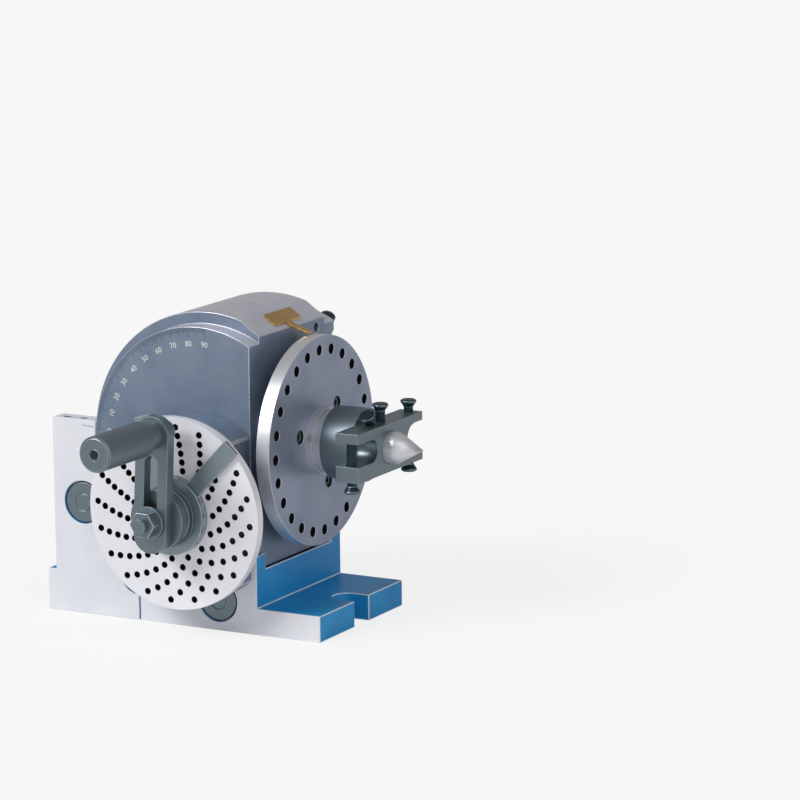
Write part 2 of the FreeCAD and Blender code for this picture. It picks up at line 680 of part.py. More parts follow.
def build_driver():
    """The driver: a hub screwed on the nose and a cross plate forked at both ends."""
    body = new_body("dog_driver")
    hub = new_sketch(body, "driver_hub", "XY")
    draw_outline(hub, [
        ("nose_shoulder", "nose_thread_radius"), ("nose_end+0.5", "nose_thread_radius"),
        ("nose_end+0.5", "centre_radius+0.2"), ("driver_front", "centre_radius+0.2"),
        ("driver_front", "driver_half_height"), ("driver_back", "driver_half_height"),
        ("driver_back", "driver_hub_radius"), ("nose_shoulder", "driver_hub_radius")])
    revolve(body, hub)
    plate = new_sketch(body, "driver_plate", "YZ", "driver_back")
    draw_outline(plate, [
        ("-driver_half_length", "-driver_half_height"), ("driver_half_length", "-driver_half_height"),
        ("driver_half_length", "driver_half_height"), ("-driver_half_length", "driver_half_height")])
    draw_circle(plate, "0", "0", "centre_radius+0.2")
    pad(body, plate, "driver_front-driver_back")
    far = new_sketch(body, "driver_far_fork", "YZ", "driver_front")
    far_centre = "driver_half_length-far_slot_depth+far_slot_radius"
    draw_slot(far, (far_centre, "0"), ("driver_half_length+20", "0"), "far_slot_radius")
    pocket(body, far, "driver_front-driver_back+1")
    near = new_sketch(body, "driver_near_fork", "YZ", "driver_front")
    near_centre = "-driver_half_length+near_slot_depth-near_slot_radius"
    draw_slot(near, ("-driver_half_length-20", "1.5"), (near_centre, "1.5"), "near_slot_radius")
    pocket(body, near, "driver_front-driver_back+1")
    for name, back, tilt, upward, through in DRIVER_SCREW_HOLES:
        holes = new_sketch(body, name, "XY")
        holes.AttachmentOffset = Placement(Vector(), Rotation(Vector(1, 0, 0), tilt))
        draw_circle(holes, "(driver_front+driver_back)/2", back, "tail_screw_radius")
        pocket(body, holes, "" if through else "20", reverse=upward)
    return place(body, up="spindle_height")


# name, place along the cross plate, tilt about X, cut upwards, cut through both bars
DRIVER_SCREW_HOLES = (
    ("driver_near_hole", "-31", 0, False, False),
    ("driver_far_top_hole", "33", 0, True, False),
    ("driver_far_low_hole", "33", 0, False, False),
    ("driver_clamp_hole", "1.2", 0, True, False),
    ("driver_slant_hole", "0", 36, True, False),
)


def driver_screw(name, back, head_top, point, tilt=0):
    """A dished-head screw; head and point are heights from the spindle's axis."""
    body = new_body(name)
    sign = "-" if size(head_top) < 0 else ""
    profile = new_sketch(body, name + "_profile", "XY")
    draw_outline(profile, [
        (head_top, "0"), (head_top, "tail_screw_head-1"), (f"{head_top}-({sign}0.6)", "tail_screw_head"),
        (f"{head_top}-({sign}1.4)", "tail_screw_head"), (f"{head_top}-({sign}4)", "tail_screw_radius"),
        (point, "tail_screw_radius"), (point, "0")])
    revolve(body, profile)
    upright = TURNS["along_z"]
    if tilt:
        upright = Rotation(Vector(1, 0, 0), tilt).multiply(upright)
    return place(body, "(driver_front+driver_back)/2", back, "spindle_height", upright)


def build_direct_plunger():
    """The spring pin that drops into the direct index plate from behind."""
    body = new_body("direct_plunger")
    profile = new_sketch(body, "direct_plunger_profile", "XY")
    draw_outline(profile, [
        ("8", "0"), ("8", "plunger_radius"), ("31", "plunger_radius"),
        ("31", "plunger_tip_radius"), ("plate_back-1.8", "plunger_tip_radius"),
        ("plate_back-1.8", "0")])
    revolve(body, profile)
    stud_hole = new_sketch(body, "plunger_stud_hole", "XY")
    draw_circle(stud_hole, "plunger_knob_place", "0", "2")
    pocket(body, stud_hole, "plunger_radius+1", reverse=True)
    across, up = plunger_place()
    return place(body, back=across, up=f"spindle_height+{up}",
                 turn=Rotation(Vector(1, 0, 0), DIMENSIONS["plunger_angle"] - 90))


def build_plunger_knob():
    """The stud and knob that stand out of the drum's slot to draw the plunger."""
    body = new_body("plunger_knob")
    profile = new_sketch(body, "plunger_knob_profile", "XY")
    draw_outline(profile, [
        ("direct_circle", "0"), ("direct_circle", "2"),
        ("plunger_knob_reach-7", "2"), ("plunger_knob_reach-5", "4.2"),
        ("plunger_knob_reach-1", "4.2"), ("plunger_knob_reach", "3"), ("plunger_knob_reach", "0")])
    revolve(body, profile)
    outward = Rotation(Vector(1, 0, 0), DIMENSIONS["plunger_angle"])
    return place(body, "plunger_knob_place", up="spindle_height",
                 turn=outward.multiply(Rotation(Vector(0, 0, 1), 90)))


def build_rim_pointer():
    """The brass pointer: a bar on the milled pad with a leg down to the plate's rim."""
    body = new_body("rim_pointer")
    slope = "(sqrt(drum_radius^2-pad_start^2)-pad_drop+spindle_height)/(nose_flat-pad_start)"
    start = "sqrt(drum_radius^2-pad_start^2)"
    for name, reach, width in (("pointer_bar", "nose_flat-2.5", "28"), ("pointer_leg", "nose_flat", "5")):
        strip = new_sketch(body, name, "XZ")
        low = [("pad_start+2", f"{start}-2*{slope}"), (reach, f"{start}-({reach}-pad_start)*{slope}")]
        high = [(reach, f"{start}-({reach}-pad_start)*{slope}+1.5"),
                ("pad_start+2", f"{start}-2*{slope}+1.5")]
        if name == "pointer_leg":
            low.append(("plate_back+1", "plate_radius+0.6"))
            high.insert(0, ("plate_back+1", "plate_radius+1.8"))
        draw_outline(strip, low + high)
        pad(body, strip, width, midplane=True)
    return place(body, up="spindle_height")


def main():
    build_base()
    group("swivel_clamp_bolts", [clamp_bolt(f"clamp_bolt_{index}", *centre)
                                 for index, centre in enumerate(clamp_centres())])
    group("swivel_clamp_nuts", [clamp_nut(f"clamp_nut_{index}", *centre)
                                for index, centre in enumerate(clamp_centres())])

    build_housing()
    build_rear_cover()
    group("rear_cover_screws", [
        socket_screw(f"cover_screw_{step}", "3", "3", "1.6", "12", across="-rear_face-cover_thick",
                     back=on_circle("33", 45 + 90 * step)[0],
                     up="spindle_height+" + on_circle("33", 45 + 90 * step)[1],
                     turn=Rotation(Vector(0, 0, 1), 180)) for step in range(4)])
    spindle_ring("spindle_front_bush", "wheel_width/2+3", "nose_flat",
                 "front_journal_radius+4", "front_journal_radius+fit")
    spindle_ring("spindle_rear_bush", "-rear_face-3", "-34.5", "16", "rear_journal_radius+fit")
    build_rim_pointer()

    build_worm_housing()
    group("worm_housing_screws", [
        socket_screw(f"housing_screw_{step}", "3.5", "3.8", "2.1", "26",
                     across=on_circle("28", 90 + 120 * step)[0] + "*(-1)",
                     back="-housing_flange_front+4",
                     up="spindle_height-worm_drop+" + on_circle("28", 90 + 120 * step)[1],
                     turn=Rotation(Vector(0, 0, 1), -90)) for step in range(3)])
    worm_ring("worm_front_bush", "-spigot_front", "-sleeve_end+4",
              "worm_journal_radius+3", "worm_journal_radius+fit")
    worm_ring("worm_rear_bush", "worm_length/2+3", "worm_tail_end", "worm_tail_radius+3",
              "worm_tail_radius+fit")
    build_index_plate()
    group("index_plate_screws", [
        turned(f"index_screw_{step}", [
            ("-index_plate_front+0.1", "0"), ("-index_plate_front+0.1", "3.1"),
            ("-index_plate_front+2", "3.1"), ("-index_plate_front+2", "1.7"),
            ("-index_plate_back+6", "1.7"), ("-index_plate_back+6", "0")],
            across=on_circle("18", 120 * step)[0],
            up="spindle_height-worm_drop+" + on_circle("18", 120 * step)[1], turn="along_y")
        for step in range(3)])

    build_sector_arm("sector_arm_trailing", "index_plate_front+0.2",
                     "index_plate_front+0.2+sector_plate", "index_plate_front+0.2",
                     DIMENSIONS["trailing_angle"])
    build_sector_arm("sector_arm_leading", "index_plate_front+0.4+sector_plate",
                     "index_plate_front+0.4+2*sector_plate", "index_plate_front+0.2",
                     DIMENSIONS["leading_angle"])
    worm_ring("sector_spring", "-spigot_front+2.6", "-spigot_front+4.2", "17", "spigot_radius+fit")
    worm_ring("sector_retaining_ring", "-spigot_front+0.9", "-spigot_front+2.5", "15.5",
              "spigot_radius")

    build_worm_shaft()
    build_crank_arm()
    worm_ring("crank_washer", "-crank_back-crank_thick-2", "-crank_back-crank_thick", "9",
              "stud_radius")
    build_crank_nut()
    arm_front = "-crank_back-crank_thick"
    pin_line("pin_sleeve", [
        (f"{arm_front}-12", "pin_shank_radius+fit"), ("-spigot_front-0.5", "pin_shank_radius+fit"),
        ("-spigot_front-0.5", "sleeve_radius-1.1"), (arm_front, "sleeve_radius-1.1"),
        (arm_front, "sleeve_radius"), (f"{arm_front}-12", "sleeve_radius")])
    tip = "-index_plate_front-6.5"
    pin_line("index_pin", [
        (tip, "0"), (tip, "pin_tip_radius-0.6"), (f"{tip}-1", "pin_tip_radius"),
        (f"{tip}-7", "pin_tip_radius"), (f"{tip}-7", "pin_shank_radius"),
        ("-handle_front+6", "pin_shank_radius"), ("-handle_front+6", "1.6"),
        ("-handle_front+14", "1.6"), ("-handle_front+14", "0")])
    handle_rear = f"{arm_front}-pin_travel-0.2"
    pin_line("crank_handle", [
        (handle_rear, "sleeve_radius+0.3"), (f"{handle_rear}-13", "sleeve_radius+0.3"),
        (f"{handle_rear}-13", "pin_shank_radius"), ("-handle_front+5.9", "pin_shank_radius"),
        ("-handle_front+5.9", "1.7"), ("-handle_front+2", "1.7"), ("-handle_front+2", "3"),
        ("-handle_front", "3"), ("-handle_front", "handle_radius-1.2"),
        ("-handle_front+1.2", "handle_radius"), (f"{handle_rear}-1", "handle_radius"),
        (handle_rear, "handle_radius-1")])
    pin_line("handle_screw", [
        ("-handle_front+0.2", "0"), ("-handle_front+0.2", "2.9"), ("-handle_front+2", "2.9"),
        ("-handle_front+2", "1.6"), ("-handle_front+13.5", "1.6"), ("-handle_front+13.5", "0")])

    build_spindle()
    build_worm_wheel()
    spindle_ring("wheel_nut", "-wheel_width/2-9", "-wheel_width/2", "20", "wheel_seat_radius")
    spindle_ring("spindle_locknut", "-spindle_rear", "-rear_face-cover_thick-0.5", "15",
                 "rear_journal_radius-1")
    build_direct_plate()
    group("direct_plate_screws", [
        socket_screw(f"plate_screw_{step}", "3.6", "3.5", "2", "10", across="plate_face-4.5",
                     back=on_circle("plate_screw_circle", f"plate_screw_phase+{120 * step}")[0],
                     up="spindle_height+" + on_circle(
                         "plate_screw_circle", f"plate_screw_phase+{120 * step}")[1])
        for step in range(3)])
    build_driver()
    group("driver_tail_screws", [
        driver_screw("near_tail_screw", "-31", "-20", "7.5"),
        driver_screw("far_top_screw", "33", "20", "6"),
        driver_screw("far_low_screw", "33", "-20", "-6")])
    group("centre_clamp_screws", [
        driver_screw("top_clamp_screw", "1.2", "23.5", "centre_radius"),
        driver_screw("slant_clamp_screw", "0", "24.5", "centre_radius", 36)])
    spindle_line("centre", [
        ("nose_end-taper_length+1", "0"), ("nose_end-taper_length+1", "taper_small_radius-0.02"),
        ("nose_end", "taper_large_radius-0.03"), ("nose_end+1", "centre_radius"),
        ("centre_cone_start", "centre_radius"), ("centre_tip", "0")])
    build_direct_plunger()
    build_plunger_knob()
    doc.recompute()


main()

failed = [item.Name for item in doc.Objects
          if "Invalid" in item.State or "Error" in item.State]
if failed:
    raise RuntimeError(f"failed to recompute: {failed}")

grouped = {member.Name for item in doc.Objects if item.TypeId == "Part::Compound"
           for member in item.Links}
os.makedirs("parts", exist_ok=True)
for item in doc.Objects:
    if item.TypeId not in ("PartDesign::Body", "Part::Compound") or item.Name in grouped:
        continue
    shape = item.Shape
    if shape.isNull() or not shape.isValid() or not shape.Solids:
        raise RuntimeError(f"{item.Label} has no sound solid")
    shape.exportStep(f"parts/{item.Label}.step")
    box = shape.BoundBox
    print(f"{item.Label:24s} solids {len(shape.Solids)} volume {shape.Volume:10.0f} "
          f"x {box.XMin:.1f} {box.XMax:.1f} y {box.YMin:.1f} {box.YMax:.1f} "
          f"z {box.ZMin:.1f} {box.ZMax:.1f}")
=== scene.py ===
"""Looks of a semi-universal dividing head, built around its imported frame.

Lengths are metres and +Z is up. The spindle's nose points along +X, the index crank is on -Y,
and the origin is on the table below the crossing of the spindle's axis and the swivel axis.
"""
import logging
import math
from dataclasses import dataclass
from enum import Enum

import bmesh
import bpy
import numpy as np
from mathutils import Matrix, Vector


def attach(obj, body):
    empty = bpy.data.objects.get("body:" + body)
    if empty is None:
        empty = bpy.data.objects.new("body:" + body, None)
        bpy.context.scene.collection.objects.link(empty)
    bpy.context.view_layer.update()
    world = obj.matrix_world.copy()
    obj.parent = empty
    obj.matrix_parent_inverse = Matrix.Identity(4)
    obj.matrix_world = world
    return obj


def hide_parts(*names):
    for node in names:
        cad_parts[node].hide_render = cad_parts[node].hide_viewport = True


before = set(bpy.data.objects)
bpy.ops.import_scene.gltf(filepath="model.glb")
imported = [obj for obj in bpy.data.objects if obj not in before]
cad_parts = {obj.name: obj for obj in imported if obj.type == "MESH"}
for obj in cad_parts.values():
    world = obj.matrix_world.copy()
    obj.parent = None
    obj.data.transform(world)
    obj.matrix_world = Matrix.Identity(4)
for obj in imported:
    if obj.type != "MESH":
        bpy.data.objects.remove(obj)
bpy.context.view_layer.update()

log = logging.getLogger("dividing_head")

MM = 0.001
SPINDLE_HEIGHT = 100 * MM
WORM_HEIGHT = 69.2 * MM
EDGE_ANGLE = 34.0
FACING = 0.9
SIDEWAYS = 0.5


# ---------------------------------------------------------------- finishes

FINE_SPECKLE = 1400.0
MOTTLE_WINDOW = (0.32, 0.68)
GRINDING_STRETCH = (8, 8, 2600)
RING_SCALE = 260.0
GRAIN_HEIGHT = 0.05 * MM
ROUGHNESS_SWING = 0.1
COLOUR_A, COLOUR_B, COLOUR_OUT = 6, 7, 2


class Grain(Enum):
    """How a surface was left by the tool that made it."""

    SPECKLE = "fine even speckle of cast or blackened metal"
    GROUND = "straight lines of a surface grinder, along X"
    TURNED_X = "rings about the spindle's axis"
    TURNED_Y = "rings about the worm's axis"
    SWIVEL = "rings about the swivel axis"
    ENAMEL = "brushed enamel over a casting"


@dataclass(frozen=True)
class Finish:
    """One surface finish: two colours that mottle each other, a sheen and a grain."""

    name: str
    colour: tuple[int, int, int]
    shade: tuple[int, int, int]
    metallic: float
    roughness: float
    grain: Grain
    depth: float = 0.15
    mottle: float = 40.0

    @staticmethod
    def linear(colour: tuple[int, int, int]) -> tuple[float, float, float, float]:
        """Screen colour, 0 to 255, as the linear colour that a shader takes."""
        parts = np.asarray(colour, float) / 255
        low, high = parts / 12.92, ((parts + 0.055) / 1.055) ** 2.4
        red, green, blue = np.where(parts <= 0.04045, low, high)
        return float(red), float(green), float(blue), 1.0

    def material(self) -> bpy.types.Material:
        """The finish as a procedural material, made once and then shared.

        Returns:
            The material, whose pattern reads Object coordinates.
        """
        made = bpy.data.materials.get(self.name)
        if made:
            return made
        made = bpy.data.materials.new(self.name)
        made.use_nodes = True
        tree = made.node_tree
        shader = tree.nodes["Principled BSDF"]
        shader.inputs["Metallic"].default_value = self.metallic
        place = tree.nodes.new("ShaderNodeTexCoord").outputs["Object"]

        broad = self._noise(tree, place, self.mottle, 3.0)
        fine = self._noise(tree, place, FINE_SPECKLE, 2.0)
        fine_share = self._math(tree, "MULTIPLY", fine, 0.25)
        blend = self._math(tree, "MULTIPLY_ADD", broad, 0.75, fine_share)
        spread = tree.nodes.new("ShaderNodeMapRange")
        spread.inputs["From Min"].default_value = MOTTLE_WINDOW[0]
        spread.inputs["From Max"].default_value = MOTTLE_WINDOW[1]
        tree.links.new(blend, spread.inputs["Value"])
        mix = tree.nodes.new("ShaderNodeMix")
        mix.data_type = "RGBA"
        mix.inputs[COLOUR_A].default_value = self.linear(self.shade)
        mix.inputs[COLOUR_B].default_value = self.linear(self.colour)
        tree.links.new(spread.outputs["Result"], mix.inputs["Factor"])
        tree.links.new(mix.outputs[COLOUR_OUT], shader.inputs["Base Color"])

        polish = tree.nodes.new("ShaderNodeMapRange")
        polish.inputs["To Min"].default_value = self.roughness - ROUGHNESS_SWING
        polish.inputs["To Max"].default_value = self.roughness + ROUGHNESS_SWING
        tree.links.new(fine, polish.inputs["Value"])
        tree.links.new(polish.outputs["Result"], shader.inputs["Roughness"])

        relief = tree.nodes.new("ShaderNodeBump")
        relief.inputs["Strength"].default_value = self.depth
        relief.inputs["Distance"].default_value = GRAIN_HEIGHT
        tree.links.new(self._height(tree, place, fine), relief.inputs["Height"])
        tree.links.new(relief.outputs["Normal"], shader.inputs["Normal"])
        return made

    def _height(self, tree: bpy.types.NodeTree, place: bpy.types.NodeSocket,
                fine: bpy.types.NodeSocket) -> bpy.types.NodeSocket:
        """The grain's height: rings by distance from an axis, lines across Z, or speckle."""
        if self.grain in (Grain.SPECKLE, Grain.ENAMEL):
            return fine
        if self.grain is Grain.GROUND:
            stretched = self._mapped(tree, place, GRINDING_STRETCH, (0, 0, 0))
            return self._noise(tree, stretched, 1.0, 2.0)
        centre_height = WORM_HEIGHT if self.grain is Grain.TURNED_Y else SPINDLE_HEIGHT
        rings = tree.nodes.new("ShaderNodeTexWave")
        rings.wave_type = "RINGS"
        rings.rings_direction = "X" if self.grain is Grain.TURNED_X else "Y"
        rings.inputs["Scale"].default_value = RING_SCALE
        rings.inputs["Distortion"].default_value = 1.5
        rings.inputs["Detail"].default_value = 2.0
        tree.links.new(self._mapped(tree, place, (1, 1, 1), (0, 0, -centre_height)),
                       rings.inputs["Vector"])
        return rings.outputs["Fac"]

    @staticmethod
    def _mapped(tree: bpy.types.NodeTree, place: bpy.types.NodeSocket,
                scale: tuple[float, float, float],
                shift: tuple[float, float, float]) -> bpy.types.NodeSocket:
        """Coordinates moved and then scaled."""
        mapping = tree.nodes.new("ShaderNodeMapping")
        mapping.inputs["Scale"].default_value = scale
        mapping.inputs["Location"].default_value = shift
        tree.links.new(place, mapping.inputs["Vector"])
        return mapping.outputs["Vector"]

    @staticmethod
    def _noise(tree: bpy.types.NodeTree, place: bpy.types.NodeSocket, scale: float,
               detail: float) -> bpy.types.NodeSocket:
        """A noise texture's value."""
        noise = tree.nodes.new("ShaderNodeTexNoise")
        noise.inputs["Scale"].default_value = scale
        noise.inputs["Detail"].default_value = detail
        tree.links.new(place, noise.inputs["Vector"])
        return noise.outputs["Fac"]

    @staticmethod
    def _math(tree: bpy.types.NodeTree, operation: str,
              *values: bpy.types.NodeSocket | float) -> bpy.types.NodeSocket:
        """One arithmetic node fed with sockets or numbers."""
        node = tree.nodes.new("ShaderNodeMath")
        node.operation = operation
        for socket, value in zip(node.inputs, values):
            if isinstance(value, (int, float)):
                socket.default_value = value
            else:
                tree.links.new(value, socket)
        return node.outputs[0]


GROUND_IRON = Finish("ground_iron", (238, 239, 244), (226, 228, 237), 0.0, 0.45, Grain.GROUND, 0.1)
BLUE_ENAMEL = Finish("blue_enamel", (34, 158, 222), (14, 138, 204), 0.0, 0.4, Grain.ENAMEL, 0.35)
HOUSING_IRON = Finish("housing_iron", (136, 150, 170), (112, 128, 150),
                      0.4, 0.38, Grain.SWIVEL, 0.1)
# A pale, lit copy of the housing iron: painted highlight on the drum's rim, its shelves and the
# flange's rounded edge.
RIM_HIGHLIGHT_IRON = Finish("drum_rim_highlight", (214, 213, 222), (190, 192, 206),
                       0.4, 0.32, Grain.SPECKLE, 0.1)
INDEX_STEEL = Finish("index_steel", (244, 244, 248), (234, 234, 241),
                     0.1, 0.35, Grain.TURNED_Y, 0.08)
DIRECT_STEEL = Finish("direct_steel", (158, 165, 186), (134, 146, 168),
                      0.45, 0.34, Grain.TURNED_X, 0.12)
BRIGHT_STEEL = Finish("bright_steel", (206, 206, 216), (180, 184, 198),
                      0.85, 0.22, Grain.TURNED_X, 0.1)
DARK_STEEL = Finish("dark_steel", (72, 98, 116), (50, 78, 94), 0.5, 0.36, Grain.SPECKLE, 0.2)
SECTOR_STEEL = Finish("sector_steel", (96, 118, 138), (76, 100, 120), 0.55, 0.34, Grain.GROUND, 0.1)
BLACK_STEEL = Finish("black_steel", (34, 60, 70), (18, 40, 48), 0.5, 0.34, Grain.SPECKLE, 0.2)
# Near black: painted shade on the walls of drilled holes and bores, which are bare steel.
BORE_SHADE = Finish("bore_painted_shade", (8, 10, 14), (3, 4, 6), 0.0, 0.6, Grain.SPECKLE, 0.1)
# Near white: a painted highlight on the broken edges of the pieces that list it last.
EDGE_HIGHLIGHT = Finish("edge_highlight", (224, 226, 236), (190, 196, 210), 0.7, 0.3, Grain.SPECKLE, 0.1)
BRONZE = Finish("bronze", (176, 140, 84), (150, 116, 66), 0.85, 0.3, Grain.SPECKLE, 0.1)
POINTER_BRASS = Finish("pointer_brass", (214, 180, 120), (180, 142, 84),
                       0.8, 0.28, Grain.SPECKLE, 0.1)
SCALE_WHITE = Finish("scale_white", (240, 236, 232), (224, 220, 220), 0.0, 0.5, Grain.SPECKLE, 0.05)
SCALE_DARK = Finish("scale_dark", (40, 58, 74), (30, 46, 60), 0.0, 0.5, Grain.SPECKLE, 0.05)


# ---------------------------------------------------------------- making pieces

@dataclass(frozen=True)
class Softening:
    """How much a machined piece's sharp edges are broken."""

    width: float = 0.3 * MM
    steps: int = 2

    def apply(self, piece: bpy.types.Object, finish_slot: int) -> None:
        """Adds the live bevel, in a material slot of its own (-1: as its neighbours), and
        shading that keeps flats flat."""
        bevel = piece.modifiers.new("broken_edges", "BEVEL")
        bevel.width = self.width
        bevel.segments = self.steps
        bevel.limit_method = "ANGLE"
        bevel.angle_limit = math.radians(EDGE_ANGLE)
        bevel.use_clamp_overlap = False
        bevel.material = finish_slot
        evened = piece.modifiers.new("evened_normals", "WEIGHTED_NORMAL")
        evened.weight = 100
        evened.keep_sharp = True


def object_of(name: str, mesh: bpy.types.Mesh) -> bpy.types.Object:
    """A new object at the origin that shows a mesh."""
    made = bpy.data.objects.new(name, mesh)
    bpy.context.scene.collection.objects.link(made)
    return made


def softened(node: str, name: str, finishes: list[Finish],
             softening: Softening = Softening()) -> bpy.types.Object:
    """A machined piece with its sharp edges broken, on its CAD node's own faces.

    Args:
        node: the CAD node whose shape the piece takes.
        name: the piece's name.
        finishes: what its material slots hold; the last is its broken edges' finish.
        softening: the edges' width and steps.

    Returns:
        The piece, with a live bevel and shading that keeps its flats flat.
    """
    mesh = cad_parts[node].data.copy()
    mesh.name = name
    shape = bmesh.new()
    shape.from_mesh(mesh)
    bmesh.ops.remove_doubles(shape, verts=shape.verts, dist=0.002 * MM)
    bmesh.ops.dissolve_limit(shape, angle_limit=math.radians(0.5), verts=shape.verts,
                             edges=shape.edges, delimit=set())
    shape.to_mesh(mesh)
    shape.free()
    mesh.materials.clear()
    for finish in finishes:
        mesh.materials.append(finish.material())
    mesh.shade_smooth()
    piece = object_of(name, mesh)
    softening.apply(piece, len(finishes) - 1 if len(finishes) > 1 else -1)
    return piece


def face_table(mesh: bpy.types.Mesh) -> tuple[np.ndarray, np.ndarray]:
    """Every face's centre and normal, as two arrays of three columns."""
    centres = np.empty(len(mesh.polygons) * 3, np.float32)
    normals = np.empty_like(centres)
    mesh.polygons.foreach_get("center", centres)
    mesh.polygons.foreach_get("normal", normals)
    return centres.reshape(-1, 3), normals.reshape(-1, 3)


def paint_faces(piece: bpy.types.Object, slots: np.ndarray) -> None:
    """Gives each face the material slot that the array names."""
    piece.data.polygons.foreach_set("material_index", slots.astype(np.int32))
    piece.data.update()


def mesh_from(name: str, points: np.ndarray, faces: np.ndarray,
              finish: Finish) -> bpy.types.Object:
    """A piece from arrays of points and faces, its doubles merged and its faces outwards."""
    mesh = bpy.data.meshes.new(name)
    mesh.from_pydata(points.tolist(), [], faces.tolist())
    shape = bmesh.new()
    shape.from_mesh(mesh)
    bmesh.ops.remove_doubles(shape, verts=shape.verts, dist=0.001 * MM)
    bmesh.ops.recalc_face_normals(shape, faces=shape.faces)
    shape.to_mesh(mesh)
    shape.free()
    mesh.materials.append(finish.material())
    return object_of(name, mesh)


def dress(piece: bpy.types.Object, body: str, slot: str, *nodes: str) -> bpy.types.Object:
    """Rides a piece on its body and hides the CAD nodes that it stands for."""
    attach(piece, body)
    if nodes:
        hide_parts(*nodes)
    log.info("%s rides on %s", piece.name, body)
    return piece


def dress_nodes(width: float, *rows: tuple[str, str, list[Finish], str, str]) -> None:
    """Softens and dresses nodes that keep their own shape.

    Args:
        width: how wide their broken edges are.
        rows: for each, its node, its piece's name, its finishes, its body and its slot.
    """
    for node, name, finishes, body, slot in rows:
        dress(softened(node, name, finishes, Softening(width)), body, slot, node)


# ---------------------------------------------------------------- sub-assemblies

@dataclass
class Cradle:
    """The slotted base with its clamp bolts."""

    half_width: float = 46.25 * MM
    upright_top: float = 109 * MM

    def build(self) -> None:
        """Makes the casting, ground outside and enamelled inside, and its bolts."""
        casting = softened("base", "base_casting", [BLUE_ENAMEL, GROUND_IRON, GROUND_IRON],
                           Softening(0.5 * MM))
        centres, normals = face_table(casting.data)
        flank = (np.abs(normals[:, 1]) > FACING) & (np.abs(centres[:, 1]) > self.half_width - MM)
        top = (normals[:, 2] > FACING) & (centres[:, 2] > self.upright_top - MM)
        under = normals[:, 2] < -FACING
        paint_faces(casting, np.where(flank | top | under, 1, 0))
        dress(casting, "base", "base_casting", "base")
        bolts = softened("swivel_clamp_bolts", "clamp_bolts", [DARK_STEEL, SECTOR_STEEL])
        dress(bolts, "base", "clamp_discs", "swivel_clamp_bolts")
        nuts = softened("swivel_clamp_nuts", "clamp_nuts", [BLACK_STEEL, SECTOR_STEEL])
        dress(nuts, "base", "blackened_steel", "swivel_clamp_nuts")


@dataclass
class SwivelScale:
    """The degree scale on the drum's front face, and its zero line on the cradle."""

    face: float = -46.25 * MM
    rim: float = 66 * MM
    zero_angle: float = 175.4
    numeral_radius: float = 55.4 * MM
    numeral_height: float = 3.1 * MM
    proud: float = 0.05 * MM
    line_width: float = 0.22 * MM

    def build(self) -> None:
        """Makes the degree lines, the numerals and the zero line."""
        degrees = np.arange(-10, 91)
        reach = np.where(degrees % 10 == 0, 5.2, np.where(degrees % 5 == 0, 4.2, 2.8)) * MM
        lines = self.strokes("scale_lines", self.zero_angle - degrees, self.rim - 0.3 * MM - reach,
                             np.full(len(degrees), self.rim - 0.3 * MM), SCALE_DARK)
        dress(lines, "head", "machined_housing")
        zero = self.strokes("zero_line", np.array([self.zero_angle]), np.array([self.rim + 1 * MM]),
                            np.array([self.rim + 9 * MM]), SCALE_DARK)
        dress(zero, "base", "base_casting")
        dress(self.numerals(), "head", "machined_housing")

    def strokes(self, name: str, angles: np.ndarray, inner: np.ndarray, outer: np.ndarray,
                finish: Finish) -> bpy.types.Object:
        """Radial bars: each point is radius times (cos, sin) of its angle, half a width aside.

        Args:
            name: the piece's name.
            angles: each bar's angle in degrees, from +X towards +Z.
            inner: each bar's inner radius.
            outer: each bar's outer radius.
            finish: the bars' finish.

        Returns:
            One piece with every bar, each a closed box.
        """
        turn = np.radians(angles)[:, None]
        corner = np.arange(8)[None, :]
        radius = np.where(corner & 1, outer[:, None], inner[:, None])
        aside = np.where(corner & 2, 0.5, -0.5) * self.line_width
        depth = np.where(corner & 4, self.face - self.proud, self.face + self.proud)
        across = radius * np.cos(turn) - aside * np.sin(turn)
        up = radius * np.sin(turn) + aside * np.cos(turn) + SPINDLE_HEIGHT
        points = np.stack([across, np.broadcast_to(depth, across.shape), up], axis=-1)
        box = np.array([[0, 1, 3, 2], [4, 6, 7, 5], [0, 4, 5, 1], [2, 3, 7, 6], [0, 2, 6, 4],
                        [1, 5, 7, 3]])
        faces = (box[None] + 8 * np.arange(len(angles))[:, None, None]).reshape(-1, 4)
        return mesh_from(name, points.reshape(-1, 3), faces, finish)

    def numerals(self) -> bpy.types.Object:
        """The tens from 0 to 90, each upright on its own radius."""
        shape = bmesh.new()
        for value in range(0, 91, 10):
            curve = bpy.data.curves.new("numeral", "FONT")
            curve.body = str(value)
            curve.size = self.numeral_height * 1.35
            curve.align_x = "CENTER"
            curve.extrude = self.proud
            text = object_of("numeral", curve)
            mesh = bpy.data.meshes.new_from_object(text)
            turn = math.radians(self.zero_angle - value)
            outward = Vector((math.cos(turn), 0, math.sin(turn)))
            along = Vector((math.sin(turn), 0, -math.cos(turn)))
            front = Vector((0, -1, 0))
            start = outward * self.numeral_radius + Vector((0, self.face, SPINDLE_HEIGHT))
            place = Matrix((along, outward, front)).transposed().to_4x4()
            mesh.transform(Matrix.Translation(start) @ place)
            shape.from_mesh(mesh)
            bpy.data.objects.remove(text)
            bpy.data.curves.remove(curve)
            bpy.data.meshes.remove(mesh)
        mesh = bpy.data.meshes.new("scale_numerals")
        shape.to_mesh(mesh)
        shape.free()
        mesh.materials.clear()
        mesh.materials.append(SCALE_WHITE.material())
        return object_of("scale_numerals", mesh)


